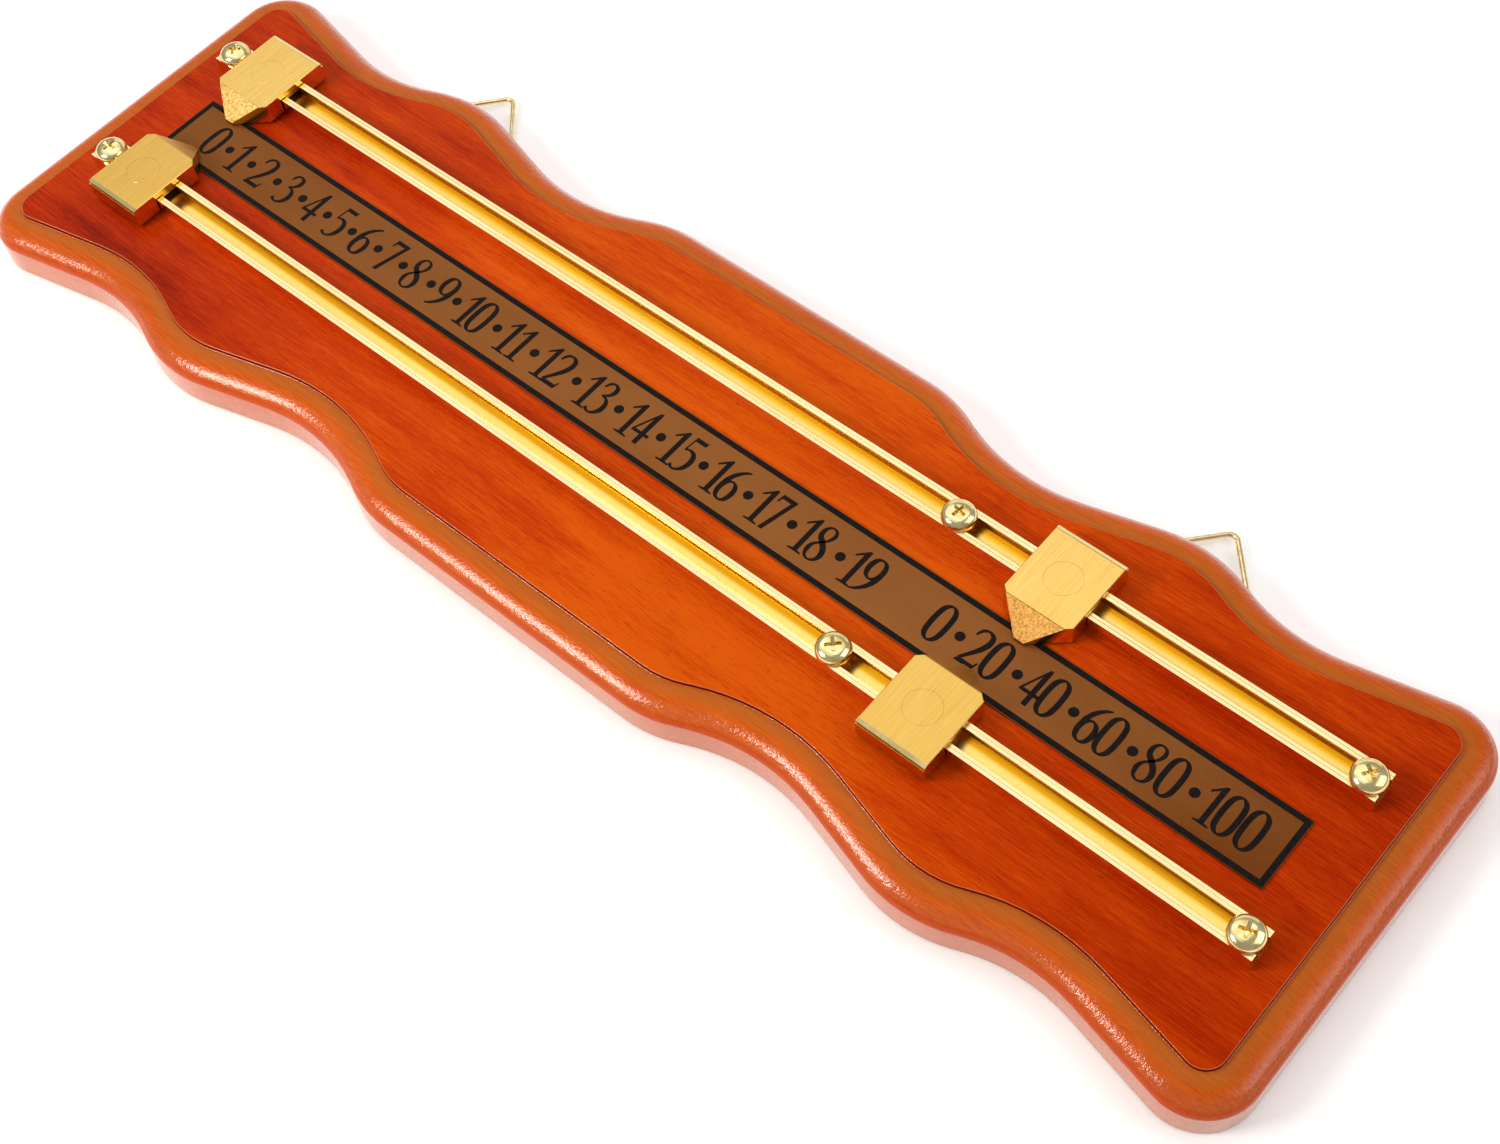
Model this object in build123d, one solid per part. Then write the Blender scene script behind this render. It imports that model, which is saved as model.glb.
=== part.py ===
from build123d import *
import math
import os

# Two-player snooker scoreboard. Millimetres, lying on its back:
# +X reads along the numbers, +Y is the top edge, +Z comes out of the face.
# The origin is the middle of the board's back face.

# ---------------------------------------------------------------- board
board_thickness = 18.0
field_end = 247.7            # half length of the flat face
field_side = 62.5            # half width of the flat face at its widest
moulding_width = 10.9
moulding_step = 1.4          # drop from the flat face to the moulding
moulding_drop = 7.3          # drop from the flat face to the top of the upright side
moulding_shelf = 1.3         # flat part of the moulding, next to the step
face_edge_round = 0.4
step_foot_round = 0.5
back_edge_round = 0.8

# One quarter of the wavy face outline: corner point of the tangents, and the round on it.
face_waves = [
    ((57.7, field_side), 34.0),
    ((91.9, 47.1), 76.0),
    ((155.3, 64.8), 37.0),
    ((187.8, 50.8), 68.0),
    ((field_end, 64.1), 6.5),
]

# ---------------------------------------------------------------- rails
rail_middle_y = 2.4          # the rail pair sits a little above the board's centre line
rail_offset = 29.2           # from the middle of the pair to each rail
rail_half_length = 238.5
rail_width = 10.6
rail_height = 6.2
rail_wall = 0.9
lip_width = 2.2
lip_thickness = 0.8
lip_groove = 0.3

# ---------------------------------------------------------------- number strip
strip_length = 457.0
strip_width = 25.4
strip_thickness = 0.7
strip_y = 1.6

# ---------------------------------------------------------------- rail screws
screw_head_diameter = 11.2
screw_head_height = 3.4
screw_shank_diameter = 4.2
screw_length = 17.0
screw_turns = {"left_end": (-233.4, 20), "middle": (94.0, 62), "right_end": (233.4, 35)}

# ---------------------------------------------------------------- pointers
pointer_width = 24.6
pointer_height = 8.5         # top of the block above the face
pointer_float = 1.2          # gap under the block, so that it clears the strip
pointer_back = 15.0          # from the rail's middle to the outer side
shoulder_reach = 12.05       # from the rail's middle to where the sides start to taper
bevel_reach = 13.7           # from the rail's middle to where the top starts to slope
tip_reach = 21.2
tip_half_width = 1.8
tip_thickness = 0.6
pointer_slot_width = 11.4
pointer_slot_roof = 6.5
plug_diameter = 11.8
plug_depth = 1.0
stem_diameter = 4.0
fit_gap = 0.03
shoe_length = 20.0
shoe_width = 8.0
shoe_neck_width = 5.6
shoe_bottom = 3.4
shoe_top = 5.2
spring_thickness = 0.3
spring_width = 6.0
spring_half_length = 9.0

pointer_rest = {
    ("upper", "units"): -215.2,
    ("lower", "units"): -215.2,
    ("upper", "twenties"): 132.0,
    ("lower", "twenties"): 126.5,
}

# ---------------------------------------------------------------- hangers
hanger_x = 155.0
hanger_axis_y = 68.5
hanger_axis_z = 2.2
wire_diameter = 1.8
loop_rise = 21.5             # from the hinge line to the bend at the top
loop_half_base = 19.3
loop_bend = 2.6
pocket_depth = 4.0
pocket_half_width = 21.0
pocket_start_y = 50.0
strap_thickness = 0.8
strap_half_width = 9.0
strap_start_y = 53.0
hanger_screw_y = 58.0

FACE_Z = board_thickness
os.makedirs("parts", exist_ok=True)


def save(shape, name):
    """Write one piece as one STEP file."""
    solids = shape.solids()
    solid = solids[0] if len(solids) == 1 else Compound(children=list(solids))
    solid.label = name
    export_step(solid, f"parts/{name}.step")


def block(x_range, y_range, z_range):
    """A box given by its limits."""
    size = [high - low for low, high in (x_range, y_range, z_range)]
    middle = [(high + low) / 2 for low, high in (x_range, y_range, z_range)]
    return Pos(*middle) * Box(*size)


def rod(x, y, z_low, z_high, diameter):
    """A round bar along Z."""
    return Pos(x, y, (z_low + z_high) / 2) * Cylinder(diameter / 2, z_high - z_low)


def along_x(points, x_low, x_high):
    """Extrude a closed outline, given as (y, z) points, along X."""
    outline = Polyline(*[(0, y, z) for y, z in points], close=True)
    return Pos(x_low, 0, 0) * extrude(make_face(outline), amount=x_high - x_low, dir=(1, 0, 0))


# ---------------------------------------------------------------- backboard
def face_outline():
    """The wavy outline of the flat face, the same in all four quarters."""
    quarter = [point for point, _ in face_waves]
    right = quarter + [(x, -y) for x, y in reversed(quarter)]
    corners = right + [(-x, -y) for x, y in right]
    sketch = make_face(Polyline(*corners, close=True))
    for (x, y), radius in face_waves:
        wanted = [v for v in sketch.vertices() if abs(abs(v.X) - x) < 0.01 and abs(abs(v.Y) - y) < 0.01]
        sketch = fillet(wanted, radius)
    return sketch


def rim_section():
    """The rim in section: x is the distance out from the flat face's edge, y the height."""
    top = board_thickness
    shelf_y = top - moulding_step
    side_top = top - moulding_drop
    side_x = moulding_width
    inner_x = -3.0
    radii = (side_x - moulding_shelf, shelf_y - side_top)
    lines = [
        Line((inner_x, 0), (side_x - back_edge_round, 0)),
        RadiusArc((side_x - back_edge_round, 0), (side_x, back_edge_round), -back_edge_round),
        Line((side_x, back_edge_round), (side_x, side_top)),
        EllipticalCenterArc((moulding_shelf, side_top), *radii, arc_size=90),
        Line((moulding_shelf, shelf_y), (step_foot_round, shelf_y)),
        RadiusArc((step_foot_round, shelf_y), (0, shelf_y + step_foot_round), step_foot_round),
        Line((0, shelf_y + step_foot_round), (0, top - face_edge_round)),
        RadiusArc((0, top - face_edge_round), (-face_edge_round, top), -face_edge_round),
        Line((-face_edge_round, top), (inner_x, top)),
        Line((inner_x, top), (inner_x, 0)),
    ]
    return make_face(Wire([edge for line in lines for edge in line.edges()]))


def make_backboard():
    outline = face_outline()
    path = outline.face().outer_wire()
    start = path @ 0
    outward = (path % 0).cross(Vector(0, 0, 1))
    if outward.dot(start) < 0:
        outward = -outward
    section_plane = Plane(origin=start, x_dir=outward, z_dir=outward.cross(Vector(0, 0, 1)))
    rim = sweep(section_plane * rim_section(), path=path)
    board = extrude(offset(outline, amount=-1.5, kind=Kind.ARC), amount=board_thickness) + rim
    for side in (1, -1):
        rail_y = rail_middle_y + side * rail_offset
        for x, _ in screw_turns.values():
            board -= rod(x, rail_y, FACE_Z - 12.5, FACE_Z + 1, screw_shank_diameter + 0.1)
    for x in (-hanger_x, hanger_x):
        pocket = block((x - pocket_half_width, x + pocket_half_width), (pocket_start_y, 100), (-1, pocket_depth))
        corners = [e for e in pocket.edges().filter_by(Axis.Z) if e.center().Y < 60]
        board -= fillet(corners, 3)
        board -= rod(x, hanger_screw_y, pocket_depth - 1, pocket_depth + 9.5, 3.0)
    return board


board = make_backboard()
save(board, "backboard")

# ---------------------------------------------------------------- number strip
strip_half = strip_width / 2
strip = block(
    (-strip_length / 2, strip_length / 2),
    (strip_y - strip_half, strip_y + strip_half),
    (FACE_Z, FACE_Z + strip_thickness),
)
save(strip, "number_strip")


# ---------------------------------------------------------------- rails
def make_rail(rail_y):
    """A C channel lying on its web, with a hole in the web under each screw."""
    half = rail_width / 2
    rail = block(
        (-rail_half_length, rail_half_length),
        (rail_y - half, rail_y + half),
        (FACE_Z, FACE_Z + rail_height),
    )
    ends = (-rail_half_length - 1, rail_half_length + 1)
    inside = half - rail_wall
    rail -= block(ends, (rail_y - inside, rail_y + inside), (FACE_Z + rail_wall, FACE_Z + rail_height - lip_thickness))
    slot = half - lip_width
    rail -= block(ends, (rail_y - slot, rail_y + slot), (FACE_Z + 2, FACE_Z + rail_height + 1))
    for side in (1, -1):
        groove_y = rail_y + side * (half - lip_width / 2)
        groove_z = FACE_Z + rail_height
        rail -= block(
            ends,
            (groove_y - lip_groove / 2, groove_y + lip_groove / 2),
            (groove_z - lip_groove / 2, groove_z + 1),
        )
    for x, _ in screw_turns.values():
        rail -= rod(x, rail_y, FACE_Z - 1, FACE_Z + 2, screw_shank_diameter + 0.4)
    return rail


# ---------------------------------------------------------------- rail screws
def make_screw(x, y, turn):
    """A pan head wood screw with a cross recess, its head down on the rail's lips."""
    head_z = FACE_Z + rail_height
    core = screw_shank_diameter / 2
    root = core - 0.6
    points = [(0, head_z - screw_length), (root * 0.4, head_z - screw_length + 1.0)]
    pitch = 1.6
    crests = int((screw_length - rail_height - 1.5) / pitch)
    for number in range(crests):
        crest_z = head_z - screw_length + 1.8 + number * pitch
        points += [(core, crest_z), (root, crest_z + pitch / 2)]
    points += [(core, points[-1][1] + 0.6), (core, head_z), (screw_head_diameter / 2, head_z)]
    shoulder = (screw_head_diameter / 2, head_z + 0.5)
    crown = (0, head_z + screw_head_height)
    side = Polyline(*points, shoulder)
    dome = Spline(shoulder, crown, tangents=[(-0.12, 1), (-1, 0)])
    axis_line = Line(crown, points[0])
    profile = make_face(Wire([*side.edges(), *dome.edges(), *axis_line.edges()]))
    screw = revolve(Plane.XZ * profile, axis=Axis.Z)
    cross = Box(5.2, 1.15, 8) + Box(1.15, 5.2, 8)
    driver = Pos(0, 0, head_z + screw_head_height - 1.0) * Cone(0.7, 3.0, 2.6)
    recess = (Pos(0, 0, head_z + screw_head_height) * cross) & driver
    return Pos(x, y, 0) * Rot(0, 0, turn) * (screw - recess)


for rail_name, side in (("upper", 1), ("lower", -1)):
    rail_y = rail_middle_y + side * rail_offset
    save(make_rail(rail_y), f"{rail_name}_rail")
    for place, (x, turn) in screw_turns.items():
        save(make_screw(x, rail_y, turn + 17 * side), f"{rail_name}_rail_screw_{place}")


# ---------------------------------------------------------------- pointers
# Each pointer is drawn for the lower rail, tip towards +Y, with the rail's middle at y = 0,
# and the upper pointers are the same parts turned half a turn about Z.
def make_pointer_block():
    top = pointer_height
    bottom = pointer_float
    outline = [
        (-pointer_back, bottom),
        (-pointer_back, 6.9),
        (-pointer_back + 0.9, 6.9),
        (-pointer_back + 0.9, 7.4),
        (-pointer_back + 0.4, 7.4),
        (-pointer_back + 0.4, 7.9),
        (-pointer_back + 1.8, top),
        (bevel_reach, top),
        (tip_reach, bottom + tip_thickness),
        (tip_reach, bottom),
    ]
    half = pointer_width / 2
    body = along_x(outline, -half, half)
    plan = Polyline(
        (-half, -20), (half, -20), (half, shoulder_reach), (tip_half_width, tip_reach),
        (-tip_half_width, tip_reach), (-half, shoulder_reach), close=True,
    )
    body &= extrude(make_face(plan), amount=20)
    slot = pointer_slot_width / 2
    body -= block((-half - 1, half + 1), (-slot, slot), (0, pointer_slot_roof))
    face = body.faces().sort_by(Axis.Z)[-1]
    body = chamfer(face.edges(), 0.2)
    body -= rod(0, 0, top - plug_depth, top + 1, plug_diameter + 2 * fit_gap)
    body -= rod(0, 0, 5, top, stem_diameter + 2 * fit_gap)
    return body


def make_pointer_plug():
    top = pointer_height
    head = rod(0, 0, top - plug_depth, top, plug_diameter)
    head = chamfer(head.edges().sort_by(Axis.Z)[-1], 0.03)
    stem = rod(0, 0, shoe_bottom + 0.1, top - plug_depth, stem_diameter)
    return head + stem


def make_pointer_shoe():
    half = shoe_length / 2
    shoe = block((-half, half), (-shoe_width / 2, shoe_width / 2), (shoe_bottom, shoe_top))
    shoe += block((-half, half), (-shoe_neck_width / 2, shoe_neck_width / 2), (shoe_top, pointer_slot_roof))
    for x in (-half + 0.4, half - 0.4):
        shoe += block((x - 0.4, x + 0.4), (-shoe_width / 2, shoe_width / 2), (shoe_bottom - 0.6, shoe_bottom))
    shoe -= rod(0, 0, 0, 10, stem_diameter + 2 * fit_gap)
    return shoe


def make_pointer_spring():
    """A bowed leaf: its ends bear on the shoe and its belly on the rail's web."""
    high = shoe_bottom - 0.05
    low = rail_wall + 0.1 + spring_thickness
    end = spring_half_length
    upper = ThreePointArc((-end, high), (0, low), (end, high))
    lower = ThreePointArc((-end, high - spring_thickness), (0, low - spring_thickness), (end, high - spring_thickness))
    sides = [Line(upper @ 0, lower @ 0), Line(upper @ 1, lower @ 1)]
    outline = make_face(Wire([*upper.edges(), *lower.edges(), *sides[0].edges(), *sides[1].edges()]))
    leaf = extrude(Plane.XZ * outline, amount=spring_width / 2, both=True)
    return leaf


pointer_parts = {
    "block": make_pointer_block(),
    "plug": make_pointer_plug(),
    "shoe": make_pointer_shoe(),
    "spring": make_pointer_spring(),
}
for (rail_name, scale), x in pointer_rest.items():
    side = 1 if rail_name == "upper" else -1
    turn = 180 if side > 0 else 0
    place = Pos(x, rail_middle_y + side * rail_offset, FACE_Z) * Rot(0, 0, turn)
    for part_name, shape in pointer_parts.items():
        save(place * shape, f"{rail_name}_{scale}_pointer_{part_name}")


# ---------------------------------------------------------------- hangers
def make_strap():
    """Brass strip screwed down in the pocket and rolled round the wire of the loop."""
    floor = pocket_depth
    strap = block(
        (-strap_half_width, strap_half_width),
        (strap_start_y, hanger_axis_y),
        (floor - strap_thickness, floor),
    )
    barrel_radius = floor - hanger_axis_z
    barrel = Pos(0, hanger_axis_y, hanger_axis_z) * Rot(0, 90, 0) * Cylinder(barrel_radius, 2 * strap_half_width)
    bore = Pos(0, hanger_axis_y, hanger_axis_z) * Rot(0, 90, 0) * Cylinder(wire_diameter / 2 + 0.08, 60)
    strap = strap + barrel - bore
    corners = [e for e in strap.edges().filter_by(Axis.Z) if e.center().Y < strap_start_y + 1]
    strap = fillet(corners, 3)
    return strap - rod(0, hanger_screw_y, 0, 6, 3.1)


def make_loop():
    """A triangle of round wire, its base through the strap's barrel."""
    corners = [
        (-loop_half_base, hanger_axis_y),
        (loop_half_base, hanger_axis_y),
        (0, hanger_axis_y + loop_rise),
    ]
    path = FilletPolyline(*corners, radius=loop_bend, close=True)
    path = Pos(0, 0, hanger_axis_z) * path
    start = Plane(origin=(0, hanger_axis_y, hanger_axis_z), z_dir=(1, 0, 0))
    return sweep(start * Circle(wire_diameter / 2), path=path)


def make_hanger_screw():
    """A small round head screw, driven up into the board from the back."""
    strap_z = pocket_depth - strap_thickness
    dome_height = 1.5
    sphere_radius = (3.0 ** 2 + dome_height ** 2) / (2 * dome_height)
    dome = Pos(0, hanger_screw_y, strap_z - dome_height + sphere_radius) * Sphere(sphere_radius)
    dome &= block((-4, 4), (hanger_screw_y - 4, hanger_screw_y + 4), (0, strap_z))
    shank = rod(0, hanger_screw_y, strap_z, strap_z + 7.5, 2.9)
    tip = Pos(0, hanger_screw_y, strap_z + 8.5) * Cone(1.45, 0.3, 2)
    slot = block((-4, 4), (hanger_screw_y - 0.4, hanger_screw_y + 0.4), (0, strap_z - dome_height + 0.7))
    return dome + shank + tip - slot


for name, x in (("left", -hanger_x), ("right", hanger_x)):
    save(Pos(x, 0, 0) * make_strap(), f"{name}_hanger_strap")
    save(Pos(x, 0, 0) * make_loop(), f"{name}_hanging_loop")
    save(Pos(x, 0, 0) * make_hanger_screw(), f"{name}_hanger_screw")
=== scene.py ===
import bpy
import bmesh
import math
from mathutils import Matrix, Vector


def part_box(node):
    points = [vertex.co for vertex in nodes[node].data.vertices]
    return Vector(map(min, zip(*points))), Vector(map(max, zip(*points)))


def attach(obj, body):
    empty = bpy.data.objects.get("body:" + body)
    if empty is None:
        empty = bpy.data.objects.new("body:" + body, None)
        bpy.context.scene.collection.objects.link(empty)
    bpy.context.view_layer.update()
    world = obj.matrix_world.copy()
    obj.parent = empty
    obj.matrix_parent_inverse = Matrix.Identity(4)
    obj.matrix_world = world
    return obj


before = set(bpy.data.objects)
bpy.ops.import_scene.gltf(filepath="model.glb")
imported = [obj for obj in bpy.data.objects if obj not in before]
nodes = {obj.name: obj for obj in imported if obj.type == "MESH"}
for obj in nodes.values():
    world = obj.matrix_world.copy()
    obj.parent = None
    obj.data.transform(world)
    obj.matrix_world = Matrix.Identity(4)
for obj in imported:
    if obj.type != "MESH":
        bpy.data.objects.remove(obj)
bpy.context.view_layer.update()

MM = 0.001
FACE_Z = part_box("backboard")[1].z
SHELF_Z = FACE_Z - 1.4 * MM      # the flat foot of the step round the face
STRIP_LOW, STRIP_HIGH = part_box("number_strip")
RAIL_MIDDLE_Y = 2.4 * MM         # half way between the two rails
RAIL_OFFSET = 29.2 * MM          # from there to the middle of each rail
CHANNEL_HOLLOW = 55.0            # the gutter rises by this many metres per square metre of offset

# ---------------------------------------------------------------- camera, lights and floor
CAMERA_PLACE = Vector((0.3108, -0.2499, 0.5460))
CAMERA_AIM = Vector((0.0547, -0.0188, 0.0180))
CAMERA_ROLL = math.radians(-8.43)
CAMERA_LENS = 50.8               # millimetres, as is the sensor
SENSOR_WIDTH = 36

WORLD_COLOUR = (1, 0.99, 0.97, 1)
WORLD_STRENGTH = 0.36
FLOOR_REACH = 4                  # metres from the middle to each edge
FLOOR_HEIGHT = -0.2 * MM         # clear of the back of the board, which stands at zero
FLOOR_GLOW = 0.20

WHITE = (1, 1, 1)
WARM_WHITE = (1.0, 0.94, 0.85)
# Each softbox: name, place, (width, depth), watts, colour, and whether it faces straight down.
SOFTBOXES = (
    ("left_softbox", (-0.470, -0.757, 0.723), (0.40, 0.40), 7.8, WARM_WHITE, False),
    ("right_softbox", (0.910, 0.481, 0.793), (0.85, 0.85), 4.0, WHITE, False),
    ("top_softbox", (-0.575, 0.42, 1.05), (1.75, 0.95), 4.8, WHITE, True),
    ("front_softbox", (-0.575, -0.22, 1.08), (1.60, 0.45), 1.3, WHITE, True),
    ("back_softbox", (-0.659, 1.383, 0.515), (2.0, 0.7), 2.8, WHITE, False),
)


def make_camera():
    data = bpy.data.cameras.new("camera")
    data.lens = CAMERA_LENS
    data.sensor_width = SENSOR_WIDTH
    camera = bpy.data.objects.new("camera", data)
    look = (CAMERA_AIM - CAMERA_PLACE).to_track_quat("-Z", "Y").to_matrix().to_4x4()
    camera.matrix_world = Matrix.Translation(CAMERA_PLACE) @ look @ Matrix.Rotation(CAMERA_ROLL, 4, "Z")
    bpy.context.collection.objects.link(camera)
    bpy.context.scene.camera = camera


def make_softbox(name, place, size, power, colour, level):
    """An area light at that place, facing the middle of the board or, when level, straight down."""
    data = bpy.data.lights.new(name, "AREA")
    data.color = colour
    data.shape = "RECTANGLE"
    data.size, data.size_y = size
    data.energy = power
    light = bpy.data.objects.new(name, data)
    light.location = place
    if not level:
        light.rotation_euler = (-light.location).to_track_quat("-Z", "Y").to_euler()
    bpy.context.collection.objects.link(light)


def make_world():
    world = bpy.data.worlds.new("studio")
    bpy.context.scene.world = world
    world.use_nodes = True
    background = world.node_tree.nodes["Background"]
    background.inputs["Color"].default_value = WORLD_COLOUR
    background.inputs["Strength"].default_value = WORLD_STRENGTH


# ---------------------------------------------------------------- material nodes
class Graph:
    """One material, and short calls for adding its nodes."""

    def __init__(self, name, roughness, metallic=0.0):
        self.material = bpy.data.materials.new(name)
        self.material.use_nodes = True
        self.tree = self.material.node_tree
        self.shader = self.tree.nodes["Principled BSDF"]
        self.shader.inputs["Roughness"].default_value = roughness
        self.shader.inputs["Metallic"].default_value = metallic
        coords = self.tree.nodes.new("ShaderNodeTexCoord")
        self.place = coords.outputs["Object"]
        self.normal = coords.outputs["Normal"]

    def node(self, kind, *inputs, **settings):
        """Add a node; inputs are (socket, value or link) pairs, and it returns its first output."""
        node = self.tree.nodes.new("ShaderNode" + kind)
        for key, value in settings.items():
            setattr(node, key, value)
        for socket, value in inputs:
            if isinstance(value, bpy.types.NodeSocket):
                self.tree.links.new(value, node.inputs[socket])
            else:
                node.inputs[socket].default_value = value
        return node.outputs[0]

    def math(self, operation, a, b=0.0):
        return self.node("Math", (0, a), (1, b), operation=operation)

    def product(self, first, *others):
        for other in others:
            first = self.math("MULTIPLY", first, other)
        return first

    def total(self, *parts):
        """The sum of values, each given as (value, weight)."""
        terms = [self.math("MULTIPLY", value, weight) for value, weight in parts]
        result = terms[0]
        for term in terms[1:]:
            result = self.math("ADD", result, term)
        return result

    def noise(self, scale, detail=2.0, roughness=0.5, place=None):
        """Noise from 0 to 1 whose three scales are in features per metre."""
        spread = self.node("VectorMath", (0, place or self.place), (1, scale), operation="MULTIPLY")
        return self.node(
            "TexNoise", ("Vector", spread), ("Scale", 1.0), ("Detail", detail), ("Roughness", roughness),
        )

    def fit(self, value, low, high, to_low=0.0, to_high=1.0):
        """Take value from low..high to to_low..to_high, and stop at both ends."""
        return self.node(
            "MapRange", ("Value", value), ("From Min", low), ("From Max", high),
            ("To Min", to_low), ("To Max", to_high), interpolation_type="SMOOTHSTEP",
        )

    def ramp(self, value, *stops):
        """Colours along a value; stops are (place, (red, green, blue))."""
        node = self.tree.nodes.new("ShaderNodeValToRGB")
        elements = node.color_ramp.elements
        while len(elements) < len(stops):
            elements.new(0.5)
        for element, (position, colour) in zip(elements, stops):
            element.position = position
            element.color = (*colour, 1)
        self.tree.links.new(value, node.inputs[0])
        return node.outputs[0]

    def mix(self, factor, a, b, blend="MIX"):
        node = self.tree.nodes.new("ShaderNodeMix")
        node.data_type = "RGBA"
        node.blend_type = blend
        for socket, value in (("Factor_Float", factor), ("A_Color", a), ("B_Color", b)):
            target = next(s for s in node.inputs if s.identifier == socket)
            if isinstance(value, bpy.types.NodeSocket):
                self.tree.links.new(value, target)
            elif isinstance(value, (int, float)):
                target.default_value = value
            else:
                target.default_value = (*value, 1)
        return next(s for s in node.outputs if s.identifier == "Result_Color")

    def split(self, vector):
        node = self.tree.nodes.new("ShaderNodeSeparateXYZ")
        self.tree.links.new(vector, node.inputs[0])
        return node.outputs

    def bump(self, height, distance, strength=1.0, under=None):
        """Bump from a height of 0 to 1 that stands for that distance in metres."""
        inputs = [("Height", height), ("Distance", distance), ("Strength", strength)]
        if under:
            inputs.append(("Normal", under))
        return self.node("Bump", *inputs)

    def uniform(self, **values):
        """Give the shader's sockets one value all over."""
        for socket, value in values.items():
            self.shader.inputs[socket.replace("_", " ")].default_value = value

    def finish(self, **links):
        """Connect outputs to the shader's sockets, and return the material."""
        for socket, output in links.items():
            self.tree.links.new(output, self.shader.inputs[socket.replace("_", " ")])
        return self.material


# Ramps are (place, colour) from dark to light, and all colours are in linear light.
STAINED_WOOD = (
    (0.26, (0.17, 0.005, 0.0003)),
    (0.42, (0.36, 0.017, 0.0004)),
    (0.58, (0.51, 0.041, 0.0008)),
    (0.76, (0.66, 0.093, 0.0022)),
)
MOULDING_WOOD = ((0.3, (0.50, 0.075, 0.004)), (0.7, (0.70, 0.135, 0.009)))
BARE_WOOD = ((0.26, (0.13, 0.038, 0.012)), (0.70, (0.36, 0.140, 0.050)))
PORE_COLOUR = (0.14, 0.008, 0.0006)
DUSTING_COLOUR = (0.35, 0.130, 0.022)
SIDE_FLOOR_REFLECTION = (0.62, 0.23, 0.12)
SHOULDER_SHADE = (0.52, 0.045, 0.002)
STEP_SHADE = (0.12, 0.003, 0.0004)
FACE_EDGE_HIGHLIGHT = (0.72, 0.22, 0.08)


def below_face(depth):
    """The height that lies this many millimetres under the board's face."""
    return FACE_Z - depth * MM


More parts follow.
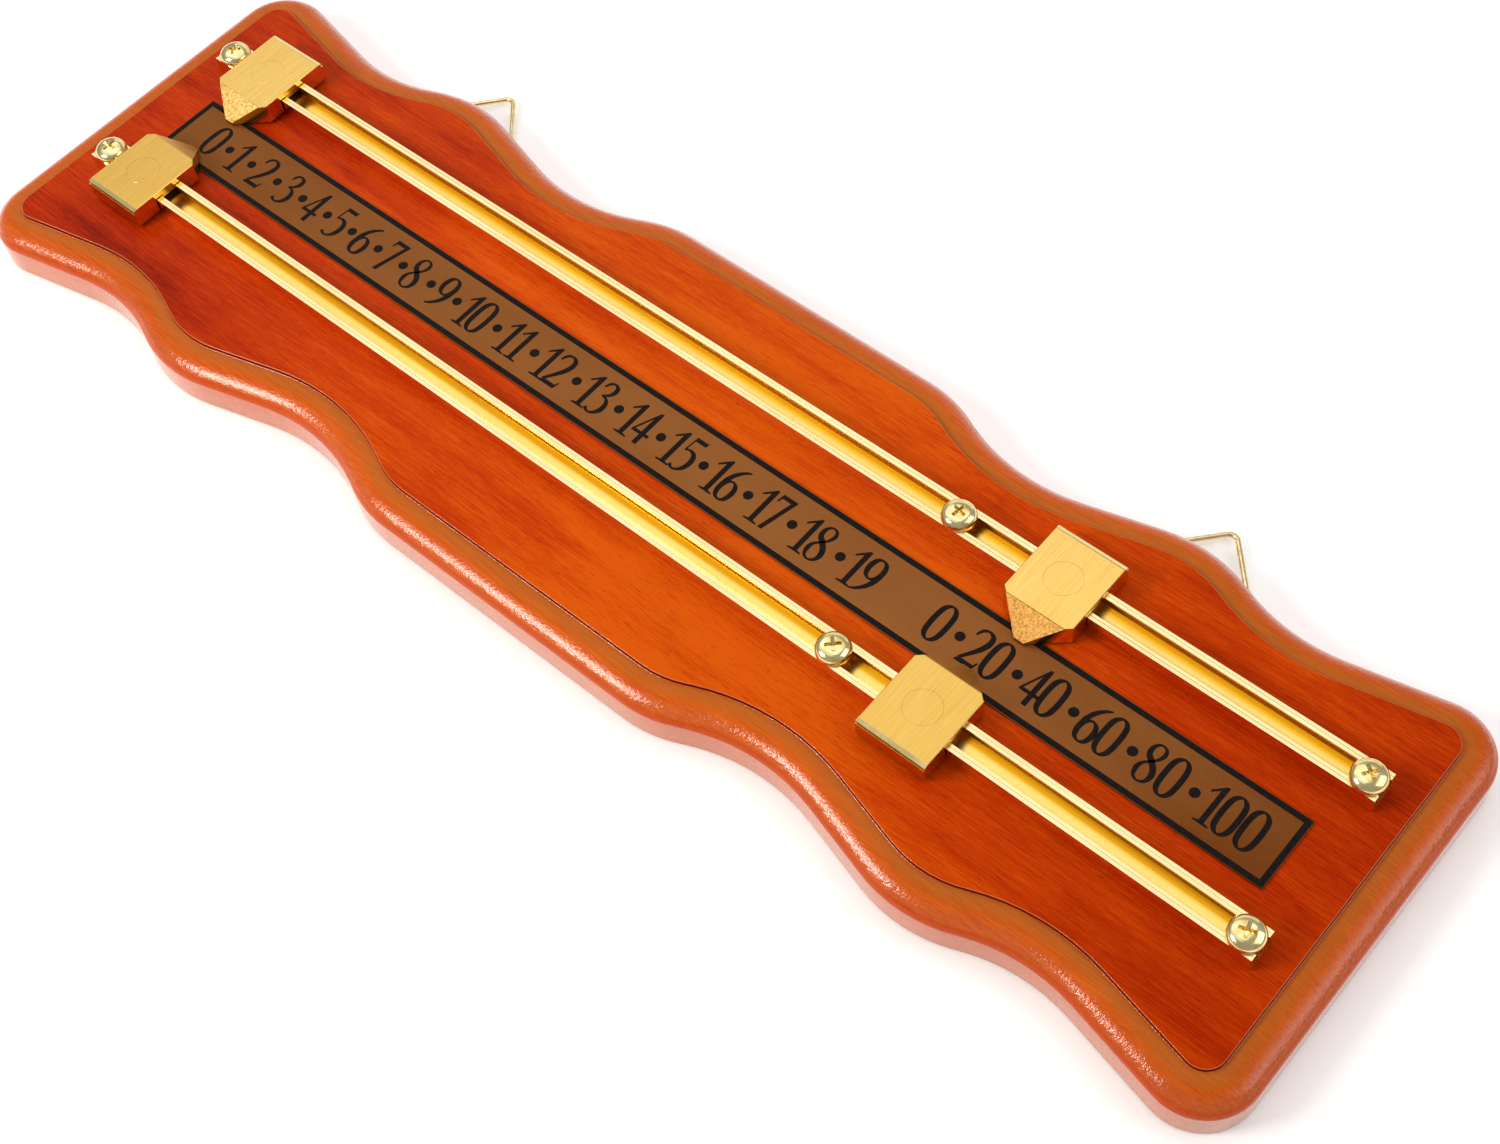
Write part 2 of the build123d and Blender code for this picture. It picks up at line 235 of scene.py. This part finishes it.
def wood_material():
    """Stained wood: a satin face, lacquer on the moulding and the sides, and a bare back."""
    g = Graph("lacquered_wood", roughness=0.26)
    x, _, z = g.split(g.place)
    # The grain wanders as it runs along the board.
    wander = g.noise((4, 22, 22), 1.0)
    sideways = g.math("MULTIPLY", wander, 0.012)
    upwards = g.math("MULTIPLY", wander, 0.006)
    offset = g.node("CombineXYZ", ("Y", sideways), ("Z", upwards))
    place = g.node("VectorMath", (0, g.place), (1, offset), operation="ADD")

    figure = g.noise((7, 70, 50), 4.0, 0.62, place)
    streaks = g.noise((60, 1500, 1200), 3.0, 0.7, place)
    fibres = g.noise((200, 4200, 3600), 2.0, 0.6, place)
    blotches = g.noise((16, 30, 30), 3.0, 0.55)
    pores = g.noise((230, 3600, 3000), 1.0, 0.5, place)

    tone = g.total((figure, 0.58), (streaks, 0.38), (fibres, 0.30), (blotches, 0.36))
    # The wood is darker towards the two ends, and a little darker over the left half.
    end_darkening = g.fit(g.math("ABSOLUTE", x), 0.02, 0.26, 0.12, 0.31)
    left_darkening = g.fit(x, 0.06, -0.06, 0.0, 0.05)
    tone = g.math("SUBTRACT", g.math("SUBTRACT", tone, end_darkening), left_darkening)
    colour = g.ramp(tone, *STAINED_WOOD)
    colour = g.mix(g.fit(pores, 0.62, 0.76, 0.0, 0.5), colour, PORE_COLOUR)

    # lean is 0 where the wood faces up, 1 where it stands upright and 2 where it faces down.
    lean = g.math("SUBTRACT", 1.0, g.split(g.normal)[2])
    # The moulding is a little yellower, with brown on the flat foot of the step.
    rim = g.fit(z, below_face(1.0), below_face(0.5), 1.0, 0.0)
    colour = g.mix(g.math("MULTIPLY", rim, 0.75), colour, g.ramp(streaks, *MOULDING_WOOD))
    speckle = g.noise((1900, 1900, 1900), 1.0, 0.6)
    ragged_lean = g.math("ADD", lean, g.math("MULTIPLY", g.math("SUBTRACT", speckle, 0.5), 0.10))
    dusting = g.product(g.fit(ragged_lean, -0.045, 0.055, 0.90, 0.0), rim)
    colour = g.mix(dusting, colour, DUSTING_COLOUR)
    # The upright side is painted paler as a painted reflection of the floor, and more so towards the back.
    side_depth = g.fit(z, below_face(8.0), below_face(15.0), 0.15, 0.6)
    side = g.product(g.fit(lean, 0.80, 0.98), side_depth)
    colour = g.mix(side, colour, SIDE_FLOOR_REFLECTION)
    # Between the top of the moulding and the side, painted shade makes the wood redder, and the lacquer is
    # thin.
    shoulder = g.product(g.fit(lean, 0.28, 0.45), g.fit(lean, 0.97, 0.85))
    colour = g.mix(g.math("MULTIPLY", shoulder, 0.5), colour, SHOULDER_SHADE)
    # The back is bare wood, without lacquer.
    back = g.fit(lean, 1.3, 1.7)
    colour = g.mix(back, colour, g.ramp(tone, *BARE_WOOD))
    # The wall of the step is painted the darkest red as painted shade, and the edge of the face above it
    # is paler with a painted highlight.
    above_shelf = g.fit(z, SHELF_Z + 0.02 * MM, SHELF_Z + 0.10 * MM)
    step = g.product(above_shelf, g.fit(lean, 0.15, 0.6))
    colour = g.mix(step, colour, STEP_SHADE)
    # Painted highlight along the rounded edge of the face.
    near_face = g.fit(z, below_face(0.40), below_face(0.25))
    face_edge_highlight = g.product(near_face, g.fit(lean, 0.03, 0.12), g.fit(lean, 0.75, 0.45))
    colour = g.mix(g.math("MULTIPLY", face_edge_highlight, 0.6), colour, FACE_EDGE_HIGHLIGHT)

    peel = g.noise((980, 980, 980), 2.0, 0.65)
    grain_height = g.total((streaks, 0.30), (pores, -0.30))
    surface = g.bump(peel, 0.00017, 0.9, g.bump(grain_height, 0.00008, 0.35))
    dull = g.math("ADD", back, step)
    rough = g.math("ADD", g.fit(blotches, 0.3, 0.7, 0.20, 0.34), g.math("MULTIPLY", dull, 0.35))
    lacquer = g.math("SUBTRACT", g.fit(lean, 0.02, 0.16, 0.06, 1.0), g.math("MULTIPLY", shoulder, 0.85))
    under_face = g.fit(z, below_face(0.12), below_face(0.02), 1.0, 0.0)
    lacquer = g.product(lacquer, under_face, g.math("SUBTRACT", 1.0, dull))
    g.uniform(IOR=1.45, Specular_IOR_Level=0.18, Specular_Tint=(1.0, 0.25, 0.05, 1))
    g.uniform(Coat_Roughness=0.15, Coat_IOR=1.58)
    return g.finish(
        Base_Color=colour, Roughness=rough, Normal=surface, Coat_Weight=lacquer, Coat_Normal=surface,
    )


def strip_material():
    """Bronze-coloured plate, darker towards both ends, and darkest at the right end with painted shade."""
    g = Graph("printed_strip", roughness=0.42, metallic=0.55)
    x = g.split(g.place)[0]
    cloud = g.noise((9, 30, 30), 3.0)
    fine = g.noise((900, 900, 900), 2.0, 0.7)
    tone = g.total((cloud, 0.5), (fine, 0.12))
    tone = g.math("SUBTRACT", tone, g.fit(g.math("ABSOLUTE", x), 0.10, 0.24, 0.0, 0.16))
    # Painted shade makes the right end darker still.
    tone = g.math("SUBTRACT", tone, g.fit(x, 0.12, 0.23, 0.0, 0.16))
    colour = g.ramp(tone, (0.02, (0.15, 0.036, 0.003)), (0.36, (0.27, 0.095, 0.022)))
    g.uniform(Specular_Tint=(1.0, 0.6, 0.3, 1))
    return g.finish(Base_Color=colour, Normal=g.bump(fine, 0.00003, 0.3))


def ink_material():
    g = Graph("strip_ink", roughness=0.38)
    fine = g.noise((1200, 1200, 1200), 2.0, 0.7)
    colour = g.ramp(fine, (0.3, (0.004, 0.002, 0.002)), (0.7, (0.012, 0.008, 0.006)))
    g.uniform(Specular_IOR_Level=0.07)
    return g.finish(Base_Color=colour, Normal=g.bump(fine, 0.00002, 0.3))


# Brass ramps again run from dark to light.
OUTER_RAIL = ((0.30, (0.84, 0.61, 0.27)), (0.62, (0.97, 0.79, 0.44)))
CHANNEL_FLOOR_BOUNCE = ((0.30, (0.88, 0.60, 0.15)), (0.62, (0.98, 0.72, 0.21)))
CHANNEL_SIDE_SHADE = ((0.30, (0.78, 0.33, 0.006)), (0.62, (0.93, 0.43, 0.010)))
INNER_WALL_SHADE = (0.78, 0.36, 0.012)
BRUSHED_TOP = ((0.30, (0.78, 0.48, 0.115)), (0.64, (0.94, 0.63, 0.180)))
GRITTY_WEDGE = ((0.30, (0.44, 0.23, 0.05)), (0.60, (0.86, 0.58, 0.20)))
SHADED_WEDGE = ((0.30, (0.30, 0.14, 0.032)), (0.60, (0.48, 0.26, 0.070)))
LOWER_ROW_SHADE = (0.87, 0.82, 0.70)
OUTER_EDGE_HIGHLIGHT = (1.0, 0.80, 0.36)


def rail_material():
    """Drawn brass channel: pale outside; inside, dull inner walls in painted shade, and a floor painted
    deeper gold as painted bounce light, orange with painted shade at its sides.
    """
    g = Graph("rail_brass", roughness=0.15, metallic=1.0)
    _, y, z = g.split(g.place)
    from_middle = g.math("ABSOLUTE", g.math("SUBTRACT", y, RAIL_MIDDLE_Y))
    across = g.math("ABSOLUTE", g.math("SUBTRACT", from_middle, RAIL_OFFSET))
    under_lips = g.fit(z, FACE_Z + 5.6 * MM, FACE_Z + 5.45 * MM)
    inside = g.product(g.fit(across, 4.9 * MM, 4.6 * MM), under_lips)
    facing_up = g.fit(g.split(g.normal)[2], 0.4, 0.8)
    dull = g.product(inside, g.math("SUBTRACT", 1.0, facing_up))
    lines = g.noise((8, 4200, 4200), 3.0, 0.7)
    haze = g.noise((30, 120, 120), 3.0)
    tone = g.total((lines, 0.55), (haze, 0.45))
    # The floor is painted a deeper gold as painted bounce light, and orange towards its sides as painted
    # shade under the lips.
    to_side = g.fit(across, 0.6 * MM, 2.8 * MM)
    channel = g.mix(to_side, g.ramp(tone, *CHANNEL_FLOOR_BOUNCE), g.ramp(tone, *CHANNEL_SIDE_SHADE))
    colour = g.mix(inside, g.ramp(tone, *OUTER_RAIL), channel)
    # The inner walls are painted a darker orange as painted shade.
    colour = g.mix(dull, colour, INNER_WALL_SHADE)
    rough = g.math("ADD", 0.09, g.math("MULTIPLY", facing_up, 0.08))
    rough = g.math("ADD", rough, g.math("MULTIPLY", inside, 0.06))
    rough = g.math("ADD", rough, g.math("MULTIPLY", dull, 0.36))
    # The floor of the channel is flat, and shaded as a shallow gutter.
    gutter = g.product(g.product(across, across), g.product(inside, facing_up))
    hollow = g.bump(gutter, CHANNEL_HOLLOW, 1.0)
    surface = g.bump(g.product(lines, facing_up), 0.00003, 0.25, hollow)
    return g.finish(Base_Color=colour, Roughness=rough, Normal=surface)


def pointer_material():
    """Brass brushed along Y on the flat top, with gritty wedges on the upper two pointers."""
    g = Graph("pointer_brass", roughness=0.3, metallic=1.0)
    x, y, _ = g.split(g.place)
    _, normal_y, normal_z = g.split(g.normal)

    def by_row(lower, upper):
        """One value on the lower two pointers and another on the upper two."""
        return g.fit(y, -1.0 * MM, 1.0 * MM, lower, upper)

    top = g.fit(normal_z, 0.985, 0.997)
    wedge = g.product(g.fit(normal_z, 0.35, 0.45), g.fit(normal_z, 0.985, 0.93), by_row(0.12, 1.0))
    flank = g.fit(normal_z, 0.3, 0.2)
    # The sloping edge along the outer side carries a painted highlight.
    outward = g.product(normal_y, by_row(-1.0, 1.0))
    sloping = g.product(g.fit(normal_z, 0.25, 0.45), g.fit(normal_z, 0.985, 0.95))
    outer_edge_highlight = g.product(sloping, g.fit(outward, 0.05, 0.20))

    brushed = g.noise((2300, 60, 400), 2.0, 0.7)
    scratches = g.noise((3600, 110, 400), 1.0, 0.7)
    drawn = g.noise((50, 2600, 2600), 3.0, 0.7)
    grit = g.noise((1300, 900, 1300), 1.5, 0.7)
    haze = g.noise((70, 40, 70), 3.0)

    # The wedge of the upper right pointer is painted a much darker brass, as painted shade.
    wedge_and_shade_colour = g.mix(g.fit(x, 0.0, 0.04), g.ramp(grit, *GRITTY_WEDGE), g.ramp(grit, *SHADED_WEDGE))
    top_colour = g.ramp(g.total((brushed, 0.6), (haze, 0.4)), *BRUSHED_TOP)
    colour = g.mix(wedge, top_colour, wedge_and_shade_colour)
    # The lower two pointers are painted a slightly deeper gold, as painted shade.
    colour = g.mix(by_row(1.0, 0.0), colour, LOWER_ROW_SHADE, "MULTIPLY")
    colour = g.mix(outer_edge_highlight, colour, OUTER_EDGE_HIGHLIGHT)

    line_height = g.total((brushed, 0.7), (scratches, 0.3))
    height = g.product(line_height, g.product(top, 0.34))
    height = g.math("ADD", height, g.product(grit, wedge))
    height = g.math("ADD", height, g.product(drawn, g.product(flank, 0.05)))
    rough = g.math("ADD", g.fit(haze, 0.3, 0.7, 0.26, 0.36), g.product(wedge, 0.16))
    rough = g.math("SUBTRACT", rough, g.product(g.math("ADD", flank, outer_edge_highlight), 0.12))
    return g.finish(Base_Color=colour, Roughness=rough, Normal=g.bump(height, 0.00009, 0.55))


def polished_metal(name, light, dark, roughness, scale=300, depth=0.00004):
    g = Graph(name, roughness=roughness, metallic=1.0)
    tarnish = g.noise((scale, scale, scale), 3.0, 0.6)
    colour = g.ramp(tarnish, (0.32, dark), (0.62, light))
    rough = g.fit(tarnish, 0.3, 0.7, roughness * 1.35, roughness * 0.8)
    return g.finish(Base_Color=colour, Roughness=rough, Normal=g.bump(tarnish, depth, 0.3))


def floor_material():
    g = Graph("floor_paper", roughness=0.9)
    tooth = g.noise((500, 500, 500), 2.0)
    colour = g.ramp(tooth, (0.3, (0.93, 0.93, 0.93)), (0.7, (0.96, 0.96, 0.96)))
    g.uniform(Emission_Color=(1, 1, 1, 1), Emission_Strength=FLOOR_GLOW)
    return g.finish(Base_Color=colour)


def make_floor():
    mesh = bpy.data.meshes.new("floor")
    signs = ((-1, -1), (1, -1), (1, 1), (-1, 1))
    corners = [(FLOOR_REACH * sx, FLOOR_REACH * sy, FLOOR_HEIGHT) for sx, sy in signs]
    mesh.from_pydata(corners, [], [(0, 1, 2, 3)])
    mesh.materials.append(floor_material())
    floor = bpy.data.objects.new("floor", mesh)
    bpy.context.collection.objects.link(floor)


# ---------------------------------------------------------------- numerals
# Each digit is drawn 1000 units high on its baseline. A stroke is a list of points on its middle
# line, (x, y) or (x, y, width); with no width given, upright runs are heavy and level runs light.
INCH = 25.4 * MM
UNITS_HIGH = 1000
UNITS_WIDE = 470                 # the box a digit is turned over in
DIGIT_HEIGHT = 0.55 * INCH
UNIT = DIGIT_HEIGHT / UNITS_HIGH
LIGHT_STROKE = 44
HEAVY_STROKE = 112
STROKE_CONTRAST = 1.6            # above 1, slanting runs lose weight sooner
STROKE_STEPS = 7
INK_THICKNESS = 0.03 * MM
INK_SPREAD = 1.14                # the print is this much bolder than the drawn strokes
INK_SINK = 0.005 * MM            # how far the ink reaches into the strip
LAYER_LIFT = 0.002 * MM          # each stroke of a digit lies this much above the one before
DOT_RADIUS = 0.065 * INCH
DOT_SIDES = 24
BORDER_WIDTH = 1.9 * MM
BORDER_INSET = 0.15 * MM

ZERO = [(238, 978), (385, 850), (420, 500), (385, 150), (238, 22), (91, 150), (56, 500), (91, 850)]
SIX_STEM = [(432, 984, 34), (300, 905, 66), (160, 740, 96), (84, 540, 112), (62, 330, 112)]
SIX_BOWL = [
    (240, 560, 46), (365, 480, 92), (408, 290, 112), (360, 90, 92), (240, 22, 46), (110, 95, 88),
    (62, 290, 112), (115, 480, 84),
]
EIGHT = [
    (225, 548, 118), (105, 655, 108), (76, 800, 92), (125, 925, 60), (228, 975, 44), (335, 925, 62),
    (368, 800, 84), (318, 660, 62), (225, 548, 50), (98, 420, 62), (56, 270, 96), (100, 90, 66),
    (228, 24, 44), (360, 92, 74), (404, 250, 110), (350, 410, 118),
]


def half_turn(points):
    """The same stroke turned upside down in the digit's own box."""
    return [(UNITS_WIDE - point[0], UNITS_HIGH - point[1], *point[2:]) for point in points]


# digit: (step to the next digit, closed strokes, open strokes, straight-sided shapes)
DIGITS = {
    "0": (507, [ZERO], [], []),
    "1": (382, [], [], [
        [(184, 40), (184, 848), (34, 716), (14, 762), (248, 1000), (308, 1000), (308, 40)],
        [(66, 0), (424, 0), (424, 34), (300, 62), (190, 62), (66, 34)],
    ]),
    "2": (513, [], [
        [(40, 745, 40), (105, 900, 70), (235, 962, 52), (372, 890, 96), (404, 730, 116), (338, 520, 112),
         (200, 290, 84), (62, 90, 66)],
    ], [
        [(6, 0), (452, 0), (500, 205), (466, 205), (425, 112), (90, 112), (20, 60)],
    ]),
    "3": (485, [], [
        [(44, 775, 36), (110, 915, 66), (220, 968, 52), (335, 905, 92), (356, 775, 104),
         (290, 640, 70), (160, 555, 40)],
        [(160, 555, 40), (310, 525, 62), (402, 390, 104), (398, 200, 112), (300, 60, 70),
         (165, 22, 50), (50, 95, 92)],
    ], []),
    "4": (449, [], [], [
        [(246, 0), (368, 0), (368, 1000), (310, 1000), (246, 900)],
        [(0, 264), (480, 264), (480, 350), (70, 350), (330, 975), (292, 1000), (0, 320)],
    ]),
    "5": (440, [], [
        [(66, 590, 40), (200, 628, 60), (335, 570, 96), (400, 400, 114), (370, 190, 104),
         (262, 56, 62), (140, 22, 50), (38, 92, 88)],
    ], [
        [(84, 560), (50, 590), (96, 1000), (398, 1000), (436, 1030), (410, 890), (124, 890)],
    ]),
    "6": (467, [SIX_BOWL], [SIX_STEM], []),
    "7": (422, [], [], [
        [(6, 770), (42, 1000), (440, 1000), (440, 930), (404, 890), (84, 890), (44, 770)],
        [(322, 900), (440, 960), (212, 0), (98, 0)],
    ]),
    "8": (513, [EIGHT], [], []),
    "9": (427, [half_turn(SIX_BOWL)], [half_turn(SIX_STEM)], []),
}


def smooth_line(points, closed):
    """Places and widths along a Catmull-Rom curve through the points."""
    count = len(points)
    spans = count if closed else count - 1
    samples = []
    for span in range(spans):
        around = []
        for index in (span - 1, span, span + 1, span + 2):
            index = index % count if closed else min(max(index, 0), count - 1)
            around.append(points[index])
        for step in range(STROKE_STEPS):
            t = step / STROKE_STEPS
            weights = (
                (-t + 2 * t * t - t ** 3) / 2,
                (2 - 5 * t * t + 3 * t ** 3) / 2,
                (t + 4 * t * t - 3 * t ** 3) / 2,
                (t ** 3 - t * t) / 2,
            )
            samples.append([sum(w * p[i] for w, p in zip(weights, around)) for i in range(len(points[0]))])
    if not closed:
        samples.append(list(points[-1]))
    return samples


def stroke_width(sample, along):
    """The width drawn with the sample, or else heavy on upright runs and light on level ones."""
    if len(sample) > 2:
        return sample[2]
    return LIGHT_STROKE + (HEAVY_STROKE - LIGHT_STROKE) * abs(along.y) ** STROKE_CONTRAST


def add_stroke(mesh, points, closed, origin, z):
    """A flat ribbon along the stroke, as thick as the ink."""
    line = smooth_line(points, closed)
    count = len(line)
    rows = []
    for i, sample in enumerate(line):
        ahead = line[(i + 1) % count] if closed else line[min(i + 1, count - 1)]
        behind = line[i - 1] if closed or i else line[0]
        along = Vector((ahead[0] - behind[0], ahead[1] - behind[1])).normalized()
        width = stroke_width(sample, along)
        side = Vector((-along.y, along.x)) * width * INK_SPREAD / 2
        row = []
        for sign, lift in ((-1, 0), (1, 0), (1, INK_THICKNESS), (-1, INK_THICKNESS)):
            x = origin[0] + (sample[0] + sign * side.x) * UNIT
            y = origin[1] + (sample[1] + sign * side.y) * UNIT
            row.append(mesh.verts.new((x, y, z + lift)))
        rows.append(row)
    pairs = list(zip(rows, rows[1:] + rows[:1])) if closed else list(zip(rows, rows[1:]))
    for low, high in pairs:
        for i in range(4):
            j = (i + 1) % 4
            mesh.faces.new((low[i], low[j], high[j], high[i]))
    if not closed:
        mesh.faces.new(rows[0])
        mesh.faces.new(rows[-1][::-1])


def add_plate(mesh, outline, z):
    """A flat shape as thick as the ink, from its (x, y) outline in metres."""
    low = [mesh.verts.new((x, y, z)) for x, y in outline]
    high = [mesh.verts.new((x, y, z + INK_THICKNESS)) for x, y in outline]
    mesh.faces.new(low[::-1])
    mesh.faces.new(high)
    for i in range(len(outline)):
        j = (i + 1) % len(outline)
        mesh.faces.new((low[i], low[j], high[j], high[i]))


def add_dot(mesh, middle_x, middle_y, z):
    outline = []
    for step in range(DOT_SIDES):
        angle = 2 * math.pi * step / DOT_SIDES
        outline.append((middle_x + DOT_RADIUS * math.cos(angle), middle_y + DOT_RADIUS * math.sin(angle)))
    add_plate(mesh, outline, z)


def add_digit(mesh, digit, origin, z):
    loops, strokes, shapes = DIGITS[digit][1:]
    level = 0
    for closed, group in ((True, loops), (False, strokes)):
        for points in group:
            add_stroke(mesh, points, closed, origin, z + level * LAYER_LIFT)
            level += 1
    for shape in shapes:
        outline = [(origin[0] + px * UNIT, origin[1] + py * UNIT) for px, py in shape]
        add_plate(mesh, outline, z + level * LAYER_LIFT)
        level += 1


# The typesetting measures are in inches, from the strip's left end.
SIDE_BEARING = 0.03
DOT_STEP = 0.25
DOT_PLACE = 0.17                 # from the number before it to the middle of the dot
FIRST_SCALE_START = 0.471
SECOND_SCALE_START = 13.18


def set_scale(mesh, numbers, start, base_y, z):
    """Set a row of numbers with a dot between neighbours, from start rightwards."""
    cursor = STRIP_LOW.x + start * INCH
    for index, number in enumerate(numbers):
        if index:
            add_dot(mesh, cursor + DOT_PLACE * INCH, base_y + DIGIT_HEIGHT / 2, z)
            cursor += DOT_STEP * INCH
        for digit in str(number):
            add_digit(mesh, digit, (cursor + SIDE_BEARING * INCH, base_y), z)
            cursor += DIGITS[digit][0] * UNIT


def make_print():
    """The border, numerals and dots printed on the strip, as one thin raised piece."""
    mesh = bmesh.new()
    z = STRIP_HIGH.z - INK_SINK
    left, bottom = STRIP_LOW.x + BORDER_INSET, STRIP_LOW.y + BORDER_INSET
    right, top = STRIP_HIGH.x - BORDER_INSET, STRIP_HIGH.y - BORDER_INSET
    outer = [(left, bottom), (right, bottom), (right, top), (left, top)]
    w = BORDER_WIDTH
    inner = [(left + w, bottom + w), (right - w, bottom + w), (right - w, top - w), (left + w, top - w)]
    for i in range(4):
        j = (i + 1) % 4
        add_plate(mesh, [outer[i], outer[j], inner[j], inner[i]], z)
    base_y = (STRIP_LOW.y + STRIP_HIGH.y) / 2 - DIGIT_HEIGHT / 2
    set_scale(mesh, range(20), FIRST_SCALE_START, base_y, z)
    set_scale(mesh, range(0, 101, 20), SECOND_SCALE_START, base_y, z)
    bmesh.ops.recalc_face_normals(mesh, faces=mesh.faces)
    data = bpy.data.meshes.new("strip_print")
    mesh.to_mesh(data)
    mesh.free()
    data.materials.append(ink_material())
    piece = bpy.data.objects.new("strip_print", data)
    bpy.context.collection.objects.link(piece)
    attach(piece, "board")


# ---------------------------------------------------------------- finishes for the CAD nodes
def finish_nodes():
    rail = rail_material()
    pointer = pointer_material()
    shoe = polished_metal("shoe_brass", (0.70, 0.45, 0.15), (0.45, 0.26, 0.08), 0.36)
    spring = polished_metal("spring_steel", (0.50, 0.50, 0.50), (0.34, 0.34, 0.35), 0.3)
    screw = polished_metal("screw_brass", (0.99, 0.86, 0.46), (0.74, 0.54, 0.18), 0.17, 260, 0.00012)
    hanger = polished_metal("hanger_brass", (0.93, 0.79, 0.48), (0.75, 0.56, 0.27), 0.22)
    finishes = {
        "backboard": wood_material(),
        "number_strip": strip_material(),
        "rail_screw": screw,
        "hanger_screw": screw,
        "_rail": rail,
        "pointer_block": pointer,
        "pointer_plug": pointer,
        "pointer_shoe": shoe,
        "pointer_spring": spring,
        "hanger_strap": hanger,
        "hanging_loop": hanger,
    }
    for name, node in nodes.items():
        material = next(finish for key, finish in finishes.items() if key in name)
        for slot in node.material_slots:
            slot.material = material


bpy.context.scene.view_settings.view_transform = "Standard"
make_camera()
make_floor()
make_world()
for softbox in SOFTBOXES:
    make_softbox(*softbox)
finish_nodes()
make_print()
